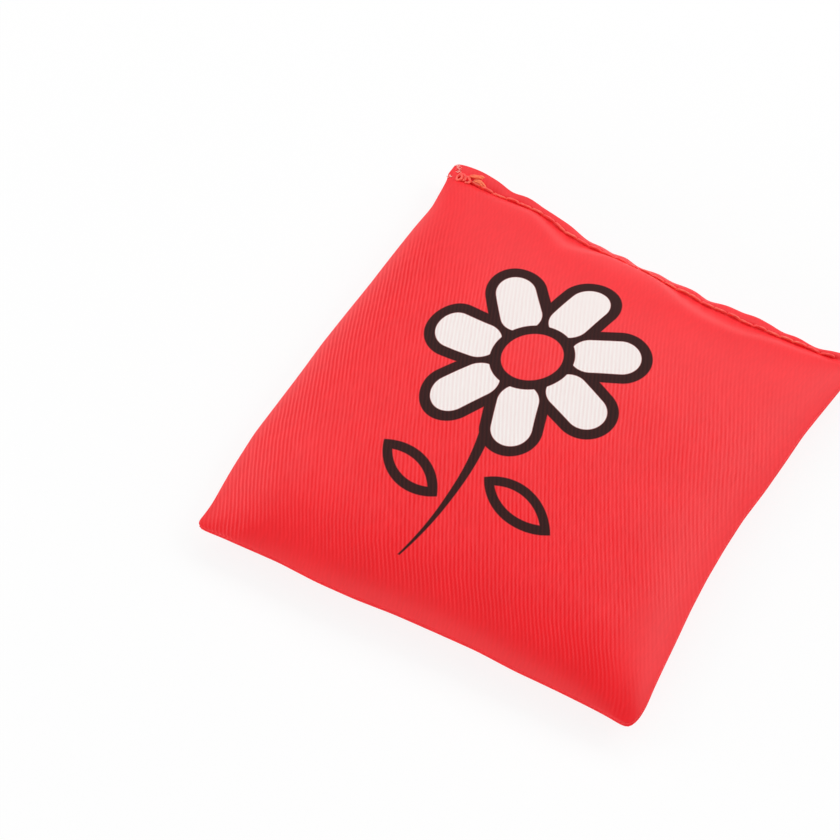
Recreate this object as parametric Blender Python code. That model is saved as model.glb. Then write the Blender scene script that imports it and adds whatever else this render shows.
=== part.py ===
"""A square toss bean bag, lying on a table.

Two twill panels are sewn right sides together round three sides, turned, filled with plastic
pellets, and closed along the fourth side by a flat flange with a row of lockstitch through it.
X runs along the closing seam, Y points from the opposite side towards it, and Z is up.
The origin is on the table under the middle of the bag.
"""

import math

import bpy
from mathutils import Vector

# Driving dimensions, in metres
panel_side = 0.100
side_draw_in = 0.0028
corner_draw_in = 0.0007
seam_height = 0.0058
crown_rise = 0.0118
cloth_thickness = 0.00042
allowance_width = 0.0080
allowance_gap = 0.00020
thread_diameter = 0.00028
thread_clearance = 0.00006
stitch_length = 0.0031
stitch_inset = 0.0028
first_stitch_inset = 0.0046
flange_margin = 0.00035
tack_length = 0.0044
tack_inset = 0.0058
thread_tail = 0.0012
side_seam_end_inset = 0.0016
side_seam_turn = 0.0012
fill_clearance = 0.0006
fill_rim_inset = 0.0022
fill_ledge_least = 0.0006

# Shape of the pillow, as powers and shares
crown_power_share = 0.60
crown_corner_share = 0.40
belly_power_share = 0.38
belly_corner_share = 0.25
belly_fullness_share = 1.22
edge_crowding_share = 0.45
fill_corner_share = 0.27
fill_slot_share = 0.96
slope_probe_share = 0.02

# Counts of facets
panel_cells = 18
fill_cells = 14
fold_steps = 3
hole_sides = 6
side_seam_points = 14

# Sizes that follow
half_side = panel_side / 2
half_cloth = cloth_thickness / 2
thread_radius = thread_diameter / 2
fold_gap = thread_diameter + 2 * thread_clearance
fold_radius = (fold_gap + cloth_thickness) / 2
fold_centre_height = allowance_gap / 2 + cloth_thickness + fold_gap / 2
fold_centre_inset = half_cloth + fold_radius
flange_level = fold_centre_height + fold_radius
stack_half = flange_level + half_cloth
leg_offset = thread_diameter + thread_clearance
stitch_hole_radius = (leg_offset + thread_radius + thread_clearance) / math.cos(math.pi / hole_sides)
tack_hole_radius = (thread_radius + thread_clearance) / math.cos(math.pi / hole_sides)
tack_row_offset = stitch_hole_radius + tack_hole_radius + thread_clearance
crown_inset = stitch_inset + tack_row_offset + tack_hole_radius + flange_margin
crown_edge = 1 - fold_centre_inset / half_side
crown_closing_edge = 1 - crown_inset / half_side
ledge_level = allowance_gap / 2 + cloth_thickness + fill_clearance


def clear_scene():
    for thing in list(bpy.data.objects):
        bpy.data.objects.remove(thing, do_unlink=True)


def material(name, colour, roughness, metallic=0.0):
    """A Principled material with a linear RGB colour."""
    made = bpy.data.materials.new(name)
    made.use_nodes = True
    shader = made.node_tree.nodes["Principled BSDF"]
    shader.inputs["Base Color"].default_value = (*colour, 1.0)
    shader.inputs["Roughness"].default_value = roughness
    shader.inputs["Metallic"].default_value = metallic
    return made


def plan(across, along):
    """Where a point of the flat square, from -1 to 1 each way, lies once the bag is filled."""

    def drawn(place, other):
        pull = corner_draw_in + (side_draw_in - corner_draw_in) * max(0.0, 1 - other * other)
        return half_side * place - place * abs(place) * pull

    return drawn(across, along), drawn(along, across)


def pillow(across, along, power_share, corner_share):
    """A swelling from 0 at the edges of the filled part to 1 in its middle."""
    reach = 1 - (across / crown_edge) ** 2
    depth = 2 * (along + crown_edge) / (crown_closing_edge + crown_edge) - 1
    rise = 1 - depth**2
    if reach <= 0 or rise <= 0:
        return 0.0
    return (reach * rise) ** power_share / (reach + rise - reach * rise) ** corner_share


def front_height(across, along):
    """Height of the front panel's middle surface over the seam plane."""
    return flange_level + crown_rise * pillow(across, along, crown_power_share, crown_corner_share)


def back_height(across, along):
    """Depth of the back panel's middle surface under the seam plane, flat where it meets the table."""
    swelling = belly_fullness_share * pillow(across, along, belly_power_share, belly_corner_share)
    settled = 1 - (1 - min(1.0, swelling)) ** 2
    return flange_level + (seam_height - half_cloth - flange_level) * settled


def crowded(count, low, high):
    """Places from low to high that lie closer together towards both ends."""
    places = []
    for step in range(count + 1):
        even = 2 * step / count - 1
        curved = math.sin(even * math.pi / 2)
        blend = even + (curved - even) * edge_crowding_share
        places.append(low + (high - low) * (blend + 1) / 2)
    return places


def rim_of(columns, rows):
    """Grid places once round the edge, anticlockwise from the first corner."""
    bottom = [(i, 0) for i in range(columns)]
    right = [(columns, j) for j in range(rows)]
    top = [(i, rows) for i in range(columns, 0, -1)]
    left = [(0, j) for j in range(rows, 0, -1)]
    return bottom + right + top + left


def solid_object(name, points, faces, finish, parent):
    """A smooth mesh object whose Z is measured from the seam plane."""
    mesh = bpy.data.meshes.new(name)
    mesh.from_pydata(points, [], faces)
    mesh.materials.append(finish)
    mesh.shade_smooth()
    return placed(bpy.data.objects.new(name, mesh), parent)


def placed(thing, parent):
    bpy.context.scene.collection.objects.link(thing)
    thing.parent = parent
    thing.location = (0, 0, seam_height)
    return thing


# Panels
def fold_end(inset, height):
    """The angle at which a fold leaves its round bend towards a point further in on the panel."""
    inward = inset - fold_centre_inset
    upward = height - fold_centre_height
    reach = math.hypot(inward, upward)
    return math.atan2(upward, inward) + math.acos(min(1.0, fold_radius / reach))


def panel(name, height_of, side, holes, finish, parent):
    """One twill panel with its edge folded under and its seam allowance turned in.

    side is 1 for the front, above the seam plane, and -1 for the back.
    """
    columns = crowded(panel_cells, -crown_edge, crown_edge)
    rows = crowded(panel_cells, -crown_edge, crown_closing_edge) + [crown_edge]
    last_column = len(columns) - 1
    last_row = len(rows) - 1
    rim = rim_of(last_column, last_row)
    points = []
    index = {}

    for j in range(1, last_row):
        for i in range(1, last_column):
            x, y = plan(columns[i], rows[j])
            index[i, j] = len(points)
            points.append((x, y, side * height_of(columns[i], rows[j])))

    def ring_point(place, inset, height):
        i, j = place
        scale = (1 - inset / half_side) / crown_edge
        x, y = plan(columns[i] * scale, rows[j] * scale)
        points.append((x, y, side * height))
        return len(points) - 1

    rings = []
    ends = []
    for i, j in rim:
        next_i = min(max(i, 1), last_column - 1)
        next_j = min(max(j, 1), last_row - 1)
        inset = fold_centre_inset + half_side * max(
            abs(columns[i] - columns[next_i]), abs(rows[j] - rows[next_j])
        )
        ends.append(fold_end(inset, height_of(columns[next_i], rows[next_j])))
    for step in range(fold_steps + 1):
        ring = []
        for place, end in zip(rim, ends):
            angle = end + (3 * math.pi / 2 - end) * step / fold_steps
            inset = fold_centre_inset + fold_radius * math.cos(angle)
            height = fold_centre_height + fold_radius * math.sin(angle)
            ring.append(ring_point(place, inset, height))
        rings.append(ring)
    allowance_height = fold_centre_height - fold_radius
    rings.append([ring_point(place, allowance_width, allowance_height) for place in rim])
    index.update(zip(rim, rings[0]))

    faces = []
    for j in range(last_row):
        for i in range(last_column):
            faces.append((index[i, j], index[i + 1, j], index[i + 1, j + 1], index[i, j + 1]))
    for inner, outer in zip(rings, rings[1:]):
        for k in range(len(rim)):
            after = (k + 1) % len(rim)
            faces.append((inner[after], inner[k], outer[k], outer[after]))
    if side < 0:
        faces = [face[::-1] for face in faces]

    made = solid_object(name, points, faces, finish, parent)
    shell = made.modifiers.new("cloth thickness", "SOLIDIFY")
    shell.thickness = cloth_thickness
    shell.offset = 0
    shell.use_even_offset = True
    shell.use_rim = True
    cut = made.modifiers.new("needle holes", "BOOLEAN")
    cut.operation = "DIFFERENCE"
    cut.solver = "EXACT"
    cut.object = holes
    return made


# Stitching
def closing_line(share, inset):
    """A point on a line parallel to the closing edge, and the directions along and across it there."""
    along = 1 - inset / half_side
    reach = 1 - first_stitch_inset / half_side
    across = reach * (2 * share - 1)
    x, y = plan(across, along)
    after_x, after_y = plan(across + slope_probe_share, along)
    forward = Vector((after_x - x, after_y - y, 0)).normalized()
    return Vector((x, y, 0)), forward, Vector((-forward.y, forward.x, 0))


def stitch_count():
    return round((panel_side - 2 * first_stitch_inset) / stitch_length)


def tack_holes():
    """The four holes of the back-tack: two by its start and two by its end, either side of the seam."""
    seam_run = panel_side - 2 * first_stitch_inset
    start_share = (tack_inset - first_stitch_inset) / seam_run
    end_share = start_share + tack_length / seam_run
    rows = (stitch_inset - tack_row_offset, stitch_inset + tack_row_offset)
    return [[closing_line(share, inset)[0] for inset in rows] for share in (start_share, end_share)]


def hole_cutter(parent):
    """Six-sided prisms, one through every place where the needle went through the flange."""
    centres = [
        (*closing_line(step / stitch_count(), stitch_inset)[:2], stitch_hole_radius)
        for step in range(stitch_count() + 1)
    ]
    forward = Vector((1, 0, 0))
    centres += [(point, forward, tack_hole_radius) for pair in tack_holes() for point in pair]
    top = 2 * stack_half
    points = []
    faces = []
    for centre, forward, radius in centres:
        first = len(points)
        turn = math.atan2(forward.y, forward.x)
        for height in (-top, top):
            for k in range(hole_sides):
                angle = turn + 2 * math.pi * k / hole_sides
                points.append(
                    (centre.x + radius * math.cos(angle), centre.y + radius * math.sin(angle), height)
                )
        lower = list(range(first, first + hole_sides))
        upper = list(range(first + hole_sides, first + 2 * hole_sides))
        faces.append(lower[::-1])
        faces.append(upper)
        for k in range(hole_sides):
            after = (k + 1) % hole_sides
            faces.append((lower[k], lower[after], upper[after], upper[k]))
    mesh = bpy.data.meshes.new("needle_hole_cutter")
    mesh.from_pydata(points, [], faces)
    cutter = placed(bpy.data.objects.new("needle_hole_cutter", mesh), parent)
    cutter.hide_render = True
    cutter.display_type = "WIRE"
    return cutter


def thread(name, points, finish, parent):
    """A thread as a round tube through the points, with its ends closed."""
    curve = bpy.data.curves.new(name, "CURVE")
    curve.dimensions = "3D"
    curve.bevel_depth = thread_radius
    curve.bevel_resolution = 0
    curve.use_fill_caps = True
    line = curve.splines.new("POLY")
    line.points.add(len(points) - 1)
    for knot, point in zip(line.points, points):
        knot.co = (*point, 1)
    line.use_smooth = True
    curve.materials.append(finish)
    return placed(bpy.data.objects.new(name, curve), parent)


def lockstitch(side, hooked_across):
    """One of the two threads of a lockstitch row.

    side is 1 for the needle thread on top and -1 for the bobbin thread below. In every hole the thread
    dips to the middle of the cloth, round the other one, and comes back out through the same hole.
    The needle thread's loop lies along the seam and the bobbin thread's across it.
    """
    run_level = stack_half + thread_clearance + thread_radius
    hook_level = -(thread_radius + thread_clearance / 2)
    elbow = thread_diameter
    points = []
    for step in range(stitch_count() + 1):
        centre, forward, sideways = closing_line(step / stitch_count(), stitch_inset)
        leg = (sideways if hooked_across else forward) * leg_offset
        shoulder = forward * leg_offset
        for offset, height in (
            (-shoulder - forward * elbow, run_level),
            (-leg, run_level - elbow),
            (-leg, hook_level + leg_offset),
            (-leg / 2, hook_level),
            (leg / 2, hook_level),
            (leg, hook_level + leg_offset),
            (leg, run_level - elbow),
            (shoulder + forward * elbow, run_level),
        ):
            spot = centre + offset
            points.append((spot.x, spot.y, side * height))
    return points


def back_tack():
    """Two long stitches that hold the start of the closing seam, joined by a stitch underneath."""
    (outer_start, inner_start), (outer_end, inner_end) = tack_holes()
    over = stack_half + thread_clearance + thread_radius
    under = -(over + thread_diameter + thread_clearance)
    tail = Vector((-thread_tail, 0, 0))
    elbow = Vector((thread_diameter, 0, 0))
    lift = thread_diameter
    route = (
        (outer_start + tail, under),
        (outer_start - elbow, under),
        (outer_start, under + lift),
        (outer_start, over - lift),
        (outer_start + elbow, over),
        (outer_end - elbow, over),
        (outer_end, over - lift),
        (outer_end, under + lift),
        (outer_end - elbow, under),
        (inner_start + elbow, under),
        (inner_start, under + lift),
        (inner_start, over - lift),
        (inner_start + elbow, over),
        (inner_end - elbow, over),
        (inner_end, over - lift),
        (inner_end, under + lift),
        (inner_end - elbow, under),
        (inner_end + tail, under),
    )
    return [(spot.x, spot.y, height) for spot, height in route]


def side_seam(side):
    """The thread inside the fold of one panel, round the three turned sides."""
    reach = 1 - fold_centre_inset / half_side
    end = 1 - side_seam_end_inset / half_side
    turn = side_seam_turn / half_side
    height = side * fold_centre_height
    left = [(-reach, share) for share in spread(end, turn - reach)]
    bottom = [(share, -reach) for share in spread(turn - reach, reach - turn)]
    right = [(reach, share) for share in spread(turn - reach, end)]
    return [(*plan(across, along), height) for across, along in left + bottom + right]


def spread(first, last):
    """Evenly spaced places along one side of the seam."""
    return [first + (last - first) * step / side_seam_points for step in range(side_seam_points + 1)]


# Filling
def rounded_square(across, along):
    """A point of the unit square moved to where it lies once the square's corners are rounded."""
    return (
        across * math.sqrt(1 - fill_corner_share * along * along),
        along * math.sqrt(1 - fill_corner_share * across * across),
    )


def inner_face(height_of, side, across, along):
    """A point inside a panel, the filling's clearance away from its inner face."""

    def spot(a, b):
        x, y = plan(a, b)
        return Vector((x, y, side * height_of(a, b)))

    probe = slope_probe_share
    slope_across = spot(across + probe, along) - spot(across - probe, along)
    slope_along = spot(across, along + probe) - spot(across, along - probe)
    normal = slope_across.cross(slope_along).normalized()
    return spot(across, along) - side * normal * (half_cloth + fill_clearance)


def pellet_fill(finish, parent):
    """The pellets as one mass, with a slot round its rim that takes the turned-in allowances."""
    rim = rim_of(fill_cells, fill_cells)
    shares = crowded(fill_cells, -1.0, 1.0)
    reach = crown_edge - fill_rim_inset / half_side
    closing_reach = crown_closing_edge - fill_rim_inset / half_side
    slot_reach = 1 - (allowance_width + fill_clearance) / half_side
    ledge = fill_ledge_least / half_side

    def place(i, j):
        across, along = rounded_square(shares[i], shares[j])
        middle = (closing_reach - reach) / 2
        return across * reach, middle + along * (closing_reach + reach) / 2

    def slot_place(i, j):
        across, along = rounded_square(shares[i], shares[j])
        wall_across, wall_along = across * slot_reach, along * slot_reach
        rim_across, rim_along = place(i, j)
        inner_across = min(abs(wall_across), abs(rim_across) * fill_slot_share)
        inner_along = min(abs(wall_along), max(0.0, abs(rim_along) - ledge))
        return math.copysign(inner_across, across), math.copysign(inner_along, along)

    points = []
    sheets = []
    for side, height_of in ((1, front_height), (-1, back_height)):
        index = {}
        for j in range(fill_cells + 1):
            for i in range(fill_cells + 1):
                index[i, j] = len(points)
                points.append(tuple(inner_face(height_of, side, *place(i, j))))
        sheets.append(index)

    def level_ring(where, height):
        ring = []
        for i, j in rim:
            x, y = where(i, j)
            ring.append(len(points))
            points.append((x, y, height))
        return ring

    def under_rim(i, j):
        above = points[sheets[0][i, j]]
        below = points[sheets[1][i, j]]
        return (above[0] + below[0]) / 2, (above[1] + below[1]) / 2

    def slot_wall(i, j):
        return plan(*slot_place(i, j))

    front, back = sheets
    rings = [
        [front[spot] for spot in rim],
        level_ring(under_rim, ledge_level),
        level_ring(slot_wall, ledge_level),
        level_ring(slot_wall, -ledge_level),
        level_ring(under_rim, -ledge_level),
        [back[spot] for spot in rim],
    ]
    faces = []
    for j in range(fill_cells):
        for i in range(fill_cells):
            square = ((i, j), (i + 1, j), (i + 1, j + 1), (i, j + 1))
            faces.append([front[spot] for spot in square])
            faces.append([back[spot] for spot in square[::-1]])
    for upper, lower in zip(rings, rings[1:]):
        for k in range(len(rim)):
            after = (k + 1) % len(rim)
            faces.append((upper[after], upper[k], lower[k], lower[after]))
    return solid_object("pellet_fill", points, faces, finish, parent)


def build():
    clear_scene()
    bag = bpy.data.objects.new("bean_bag", None)
    bpy.context.scene.collection.objects.link(bag)
    red_twill = material("printed red polyester twill", (0.86, 0.045, 0.055), 0.78)
    pellets = material("plastic pellets", (0.74, 0.72, 0.66), 0.5)
    red_thread = material("red polyester thread", (0.88, 0.05, 0.05), 0.55)
    orange_thread = material("orange polyester thread", (1.0, 0.13, 0.035), 0.55)
    holes = hole_cutter(bag)
    panel("front_panel", front_height, 1, holes, red_twill, bag)
    panel("back_panel", back_height, -1, holes, red_twill, bag)
    pellet_fill(pellets, bag)
    thread("closing_needle_thread", lockstitch(1, False), red_thread, bag)
    thread("closing_bobbin_thread", lockstitch(-1, True), red_thread, bag)
    thread("closing_back_tack_thread", back_tack(), orange_thread, bag)
    thread("side_needle_thread", side_seam(1), red_thread, bag)
    thread("side_bobbin_thread", side_seam(-1), red_thread, bag)


build()
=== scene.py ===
"""The looks of a square toss bean bag in red twill with a printed flower, lying on a white table."""

import math
import random

import bpy
import numpy as np
from mathutils import Matrix, Vector, noise
from mathutils.bvhtree import BVHTree


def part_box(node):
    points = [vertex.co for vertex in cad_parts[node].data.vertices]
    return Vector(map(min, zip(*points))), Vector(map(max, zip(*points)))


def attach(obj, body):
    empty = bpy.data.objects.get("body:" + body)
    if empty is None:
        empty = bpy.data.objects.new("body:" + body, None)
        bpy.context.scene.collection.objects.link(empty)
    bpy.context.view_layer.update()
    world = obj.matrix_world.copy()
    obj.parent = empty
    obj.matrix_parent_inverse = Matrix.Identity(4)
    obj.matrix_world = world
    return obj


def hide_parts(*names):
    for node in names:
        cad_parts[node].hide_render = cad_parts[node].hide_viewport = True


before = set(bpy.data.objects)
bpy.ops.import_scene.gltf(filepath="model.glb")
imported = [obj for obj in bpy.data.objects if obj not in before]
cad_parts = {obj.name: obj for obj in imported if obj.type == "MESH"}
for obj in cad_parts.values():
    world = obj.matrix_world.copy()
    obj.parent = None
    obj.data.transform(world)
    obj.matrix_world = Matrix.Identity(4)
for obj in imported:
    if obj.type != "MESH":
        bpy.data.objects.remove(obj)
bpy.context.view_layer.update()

MM = 0.001

# Measures that the frame's own nodes give
front_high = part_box("front_panel")[1]
needle_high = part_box("side_needle_thread")[1]
bobbin_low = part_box("side_bobbin_thread")[0]
SEAM_LEVEL = (needle_high.z + bobbin_low.z) / 2
TOP = front_high.z
CORNER = front_high.x

# Cloth, in metres
FLAT_HALF = 50.0 * MM
CLOTH = 0.42 * MM
LAYER_GAP = 0.10 * MM
FOLD_RADIUS = (CLOTH + LAYER_GAP) / 2
FOLD_LEVEL = LAYER_GAP / 2 + CLOTH + LAYER_GAP / 2
OUTER_LEVEL = FOLD_LEVEL + FOLD_RADIUS
ALLOWANCE = 8.0 * MM
FLANGE = 2.8 * MM
CORNER_SAG = 0.9 * MM
LAYERS_REACH = 2.2 * MM
TABLE_CORNERS = [(-3, -3, 0), (3, -3, 0), (3, 3, 0), (-3, 3, 0)]

# Cells of the cloth's mesh, and where the stitches fall on them
CELLS = 64
CELLS_PER_STITCH = 2
FIRST_HOLE = 3

# Swell of the pillow that the cloth settles from: powers for its sides and its corners
CROWN_SWELL = (0.60, 0.40)
BELLY_SWELL = (0.38, 0.25)
BELLY_FULLNESS = 1.22

# Spare cloth eased into the seams, as shares of its length, and how far in from them it reaches
CLOSING_EASE = 0.030
SIDE_EASE = 0.008
CLOSING_EASE_REACH = 7 * MM
SIDE_EASE_REACH = 6 * MM

# Lumps of crowded pellets: width and height in mm, and how far on in the noise they are read
LUMPS = ((17, 0.42, 0), (7.5, 0.10, 5))
LUMP_FADE_CELLS = 5.0
FRONT_SEED = 3.0
BACK_SEED = 11.0
BACK_LUMP_SHARE = 0.3

# Threads, in metres
THREAD_RADIUS = 0.25 * MM
STITCH_SINK = 0.46 * MM
STITCH_SINK_REACH = 0.28 * MM
TACK_SPREAD = 0.19 * MM
TACK_SINK = 0.8 * MM
TACK_SINK_REACH = 0.4 * MM
SIDE_SEWING_LEVEL = 0.45 * MM

# Sewing at the closing seam's start, in mm on the bag's plan
LOOPS_FROM = (-46.0, 47.6)
LOOPS_ON = (2.5, 0.2)
LOOP_REACH = (0.62, 0.66)
LOOPS = 2.6
TACK_UPPER_PASS = ((-44.3, 48.9), (-42.4, 49.35), (-40.8, 49.9))
TACK_LOWER_PASS = ((-42.9, 48.2), (-41.2, 48.6), (-39.3, 47.7))
TACK_PASS_LENGTH = 3.6
SIDE_SEWING_INSET = 1.6
FIBRE_TUFTS = ((-47.4, 49.9), (-47.1, 49.6), (-46.6, 49.0), (-47.8, 47.0))
FIBRES = 30
FIBRE_SPREAD = 0.2
FIBRE_STEPS = 8

# Pellets and the mass that they make, in metres
PELLET = 3.0 * MM
FILL_GAP = 0.95 * MM
FILL_RIM_HALF = 0.25 * MM
FILL_LEAST_HALF = 0.2 * MM

# Pellets in numbers of cells, pellets or shares
FILL_INSET_CELLS = 2.2
PELLETS_EACH_WAY = 20
PELLET_SHIFT = 0.14
PELLET_RELIEF = 0.55

# How far each edge of the filled bag is drawn in from the straight line between its corners, in mm,
# against the place along the edge of the flat cloth
LEFT_EDGE = (
    *((-50, -0.4), (-48.7, -0.3), (-47.3, -0.1), (-44.5, -0.05), (-41, -0.35), (-36, -0.7)),
    *((-27, -1.0), (-19, -0.6), (-10, -0.2), (-2, 0.0), (7, 0.6), (15, 1.2), (23, 1.6), (32, 2.15)),
    *((38, 2.75), (41, 2.4), (44, 2.1), (46.2, 1.85), (47.6, 1.0), (48.6, 0.9), (50, 1.5)),
)
RIGHT_EDGE = (
    *((-50, 0.7), (-48.3, -0.1), (-45.5, -0.1), (-43.5, 0.05), (-41.8, 0.35), (-40, 0.55)),
    *((-37, 0.9), (-29, 1.7), (-21, 2.6), (-13, 3.2), (-5, 3.45)),
    *((3, 3.4), (11, 2.75), (19, 2.4), (27, 2.2), (35, 1.4), (43, 0.6), (50, 0.2)),
)
NEAR_EDGE = (
    *((-50, -0.8), (-48, -0.85), (-45, -0.65), (-41, -0.6), (-31, -0.3), (-22, -0.6), (-13, -0.3)),
    *((-4, 0.5), (6, 0.9), (15, 1.2), (24, 0.9), (33, 1.1), (41, 1.15), (46, 1.1), (48.5, 0.8), (50, 1.0)),
)
STITCH_ROW = (
    *((-50, -1.2), (-46, -1.5), (-42, -1.2), (-37, -1.1), (-33, -1.25), (-30, -1.5), (-26.5, -1.2)),
    *((-23, -0.4), (-20, 0.4), (-16, 1.0), (-9, 1.15), (0, 1.25), (5, 1.55), (12, 1.95)),
    *((16.5, 2.3), (21, 2.1), (26, 2.25), (30, 1.95), (35, 1.7), (40, 1.4), (45, 0.9), (50, 0.3)),
)
CLOSING_EDGE = (
    *((-50, -1.4), (-48, -2.15), (-46, -2.3), (-43, -1.85), (-41, -1.85), (-38, -1.0), (-35, -0.25)),
    *((-32, -0.85), (-29, -0.4), (-25, 0.65), (-22, 0.6), (-19, 1.3), (-15, 2.6), (-12, 1.9), (-9, 2.6)),
    *((-6, 2.0), (-2, 3.1), (2, 2.4), (6, 3.15), (9, 2.65), (15, 3.75), (19, 3.0), (23, 2.8), (27, 2.5)),
    *((32, 3.4), (36, 3.1), (39, 3.6), (43, 3.15), (46, 2.15), (50, 0.8)),
)

# Width, in mm, of the strip that the stiff allowances hold down beside the stitch row
PRESSED_STRIP = (
    *((-50, 1.4), (-40, 1.2), (-35, 1.0), (-28, 1.2), (-24, 2.2), (-19, 3.4), (-15, 2.6), (-11, 1.2)),
    *((-8, 0.3), (-5, 0.1), (2, 0.3), (6, 1.2), (9, 2.2), (15, 3.3), (22, 3.7), (26, 3.4), (29, 2.6)),
    *((35, 1.8), (50, 1.0)),
)

# Rise of the flange's free edge, in mm: it droops, most of all behind the filling in the middle
FLANGE_RISE = (
    *((-50, 0.0), (-44, 0.0), (-36, -0.35), (-28, -0.5), (-22, -0.8), (-16, -1.7), (-8, -2.1), (0, -2.0)),
    *((6, -1.6), (11, -1.2), (16, -1.1), (22, -0.9), (29, -0.7), (35, -0.5), (41, -0.3), (50, 0.0)),
)

# Waves along the closing seam: height and length in mm, and start
FLANGE_RIPPLES = ((0.20, 8.7, 0.4), (0.14, 6.3, 2.1), (0.08, 4.6, 4.4))
STITCH_WANDER = ((0.07, 8.9, 0.3), (0.06, 5.7, 1.9))
STITCH_LIFT = ((0.05, 11.3, 1.0), (0.04, 7.1, 0.2))

# Rows of the mesh by the stitch row: metres inwards beside it, and shares of the flange past it
GROOVE_ROWS = (0.9 * MM, 0.4 * MM)
FLANGE_ROWS = (0.14, 0.36, 0.62, 0.87)

# How the stitches draw the cloth in, in mm, at a needle hole and half way between two
HOLE_PINCH = 0.5
STITCH_PINCH = 0.12

# Rows from the stitch row with their share of the pinch and their crease in mm, and the flange's puffs
SEWN_GROOVE = ((-2, 0.3, 0.25), (-1, 0.6, 0.35), (0, 1.0, 0.0), (1, 0.3, 0.0))
FLANGE_PUFFS = ((3, 0.05), (4, 0.03))
PUFF_RIPPLE = 1.3 * MM

# Turns of the cloth round its edge fold, in degrees: 90 is the fold's top and 180 its outermost side
FACE_END_TURN = 140
FOLD_TURNS = (185, 225, 265)

# Twill, in millimetres: 80 warps and 44 wefts to the inch
WARP_PITCH = 0.315
WEFT_PITCH = 0.58
FLOAT_SKEW = 0.7
UV_SPAN = 120.0
WARP_WANDER = 0.24
BOW_FROM = -8.0
BOW_RUN = 32.0
BOW_GROWTH = 0.0017

# Print, in millimetres on the flat cloth
PETALS = 7
FLOWER_CENTRE = (-5.0, 10.5)
FLOWER_TURN = 0.35
PETAL_MIDDLE = 15.2
PETAL_HALF_LENGTH = 3.2
PETAL_RADIUS = 6.8
DISC_RADIUS = 8.8
LINE = 2.4
LEAF_LINE = 2.1
STEM_CENTRE = (-47.0, -20.0)
STEM_RADIUS = 44.5
STEM_HEAD = 2.0
STEM_FOOT = -41.0
LEAF_ARCS = (((12.6, -14.2), (8.4, -29.8), 12.4), ((-10.6, -16.6), (-16.8, -31.2), 12.0))


def linear(colour_hex):
    """An sRGB hex colour as linear RGB."""
    parts = [int(colour_hex[k : k + 2], 16) / 255 for k in (1, 3, 5)]
    return [c / 12.92 if c <= 0.04045 else ((c + 0.055) / 1.055) ** 2.4 for c in parts]


def add_object(name, data):
    """Puts a new object with the data in the scene."""
    made = bpy.data.objects.new(name, data)
    bpy.context.scene.collection.objects.link(made)
    return made


def add_mesh(name, points, faces, finish=None):
    """Adds a mesh object; one with a finish is shaded smooth."""
    mesh = bpy.data.meshes.new(name)
    mesh.from_pydata([tuple(p) for p in points], [], faces)
    if finish:
        mesh.materials.append(finish)
        mesh.shade_smooth()
    return add_object(name, mesh)


# Shape of the filled bag


def eased(table, places):
    """The table's value, in metres, at each place along an edge, with its corners eased."""
    steps = np.linspace(-50, 50, 401)
    line = np.interp(steps, *np.array(table, float).T)
    for _ in range(20):
        line[1:-1] = (line[:-2] + 2 * line[1:-1] + line[2:]) / 4
    return np.interp(np.asarray(places) / MM, steps, line) * MM


def seam_level(across, along):
    """Height of the seam's middle: the corners of a slack bag hang a little lower than its sides."""
    spread = np.minimum(np.abs(across), np.abs(along)) / FLAT_HALF
    return SEAM_LEVEL - CORNER_SAG * spread**4


def plan_point(across, along):
    """Where a point of the flat cloth lies in plan on the filled bag, blended from its edges."""
    share = CORNER / FLAT_HALF
    to_right = (across / FLAT_HALF + 1) / 2
    to_row = np.minimum((along + FLAT_HALF) / (2 * FLAT_HALF - FLANGE), 1)
    past_row = np.maximum((along - FLAT_HALF + FLANGE) / FLANGE, 0)
    at_row = (1 - past_row) * eased(STITCH_ROW, across) + past_row * eased(CLOSING_EDGE, across)
    x = across * share + (1 - to_right) * eased(LEFT_EDGE, along) - to_right * eased(RIGHT_EDGE, along)
    y = along * share + (1 - to_row) * eased(NEAR_EDGE, across) - to_row * at_row
    return x, y


def swelling(across, along, power, corner):
    """From 0 at the edges of the filled part to 1 in its middle."""
    reach = np.maximum(1 - across * across, 0.0)
    rise = np.maximum(1 - along * along, 0.0)
    both = reach + rise - reach * rise
    return (reach * rise) ** power / np.maximum(both, 1e-9) ** corner


def flat_grid():
    """Places on the flat cloth: CELLS by CELLS between the side seams, the near seam and the stitch row."""
    across = np.linspace(-FLAT_HALF, FLAT_HALF, CELLS + 1)
    along = np.linspace(-FLAT_HALF, FLAT_HALF - FLANGE, CELLS + 1)
    return np.meshgrid(across, along)


def two_sided(front, back):
    """One closed surface from two grids of points that share their outer places."""
    rows, columns = front.shape[:2]
    front_ids = np.arange(rows * columns).reshape(rows, columns)
    back_ids = front_ids.copy()
    inner = (rows - 2) * (columns - 2)
    back_ids[1:-1, 1:-1] = rows * columns + np.arange(inner).reshape(rows - 2, columns - 2)
    points = np.concatenate([front.reshape(-1, 3), back[1:-1, 1:-1].reshape(-1, 3)])
    faces = []
    for j in range(rows - 1):
        for i in range(columns - 1):
            square = ((j, i), (j, i + 1), (j + 1, i + 1), (j + 1, i))
            faces.append([int(front_ids[s]) for s in square])
            faces.append([int(back_ids[s]) for s in square[::-1]])
    return points, faces, front_ids, back_ids


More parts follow.
